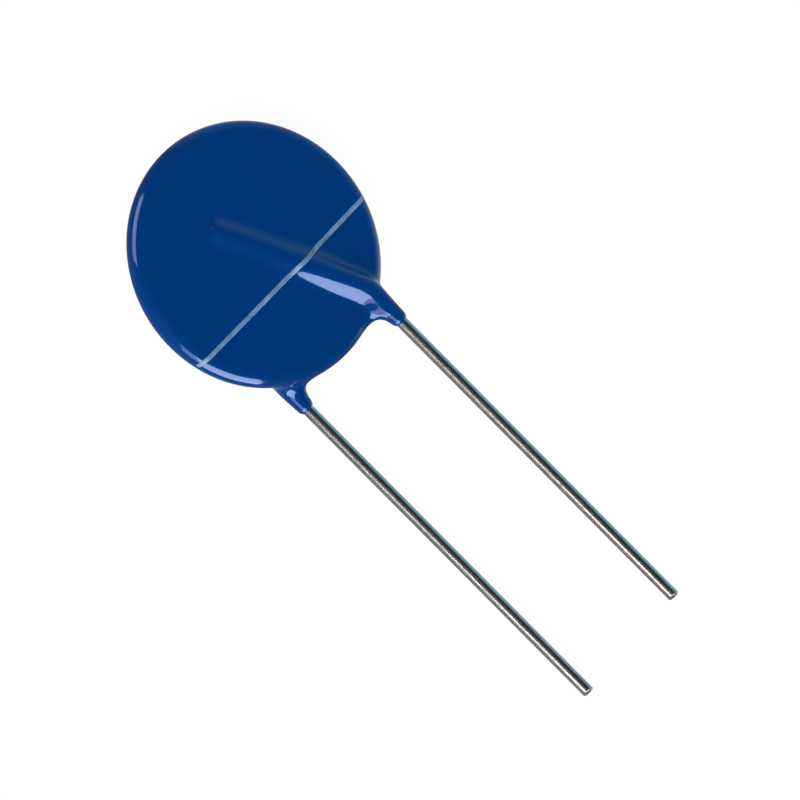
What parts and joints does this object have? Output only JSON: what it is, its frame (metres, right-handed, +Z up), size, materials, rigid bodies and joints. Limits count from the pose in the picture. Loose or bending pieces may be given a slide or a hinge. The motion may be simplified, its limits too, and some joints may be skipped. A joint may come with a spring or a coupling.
{
  "type": "metal oxide varistor",
  "caption": "Surge-absorbing disc in a glossy blue epoxy coat, with parallel tinned wire leads, a ridge over each soldered wire and a printed line across its face.",
  "frame": {"origin": "centre of the part's box, on the surface the part lies on", "axes": "+Z up, out of the front face; -Y along the leads; +X towards the lead that crosses the front face"},
  "size_m": [0.0218, 0.055, 0.0047],
  "materials": {
    "coat": "glossy epoxy",
    "print": "thin pale ink",
    "ceramic": "dark sintered zinc oxide",
    "silver": "fired silver",
    "solder": "satin solder",
    "tinned_wire": "bright tin, drawn"
  },
  "bodies": {
    "root": {"coating": "coat", "printed_line": "print", "ceramic_disc": "ceramic", "front_electrode": "silver", "back_electrode": "silver", "front_solder": "solder", "back_solder": "solder", "front_lead": "tinned_wire", "back_lead": "tinned_wire"}
  },
  "joints": []
}
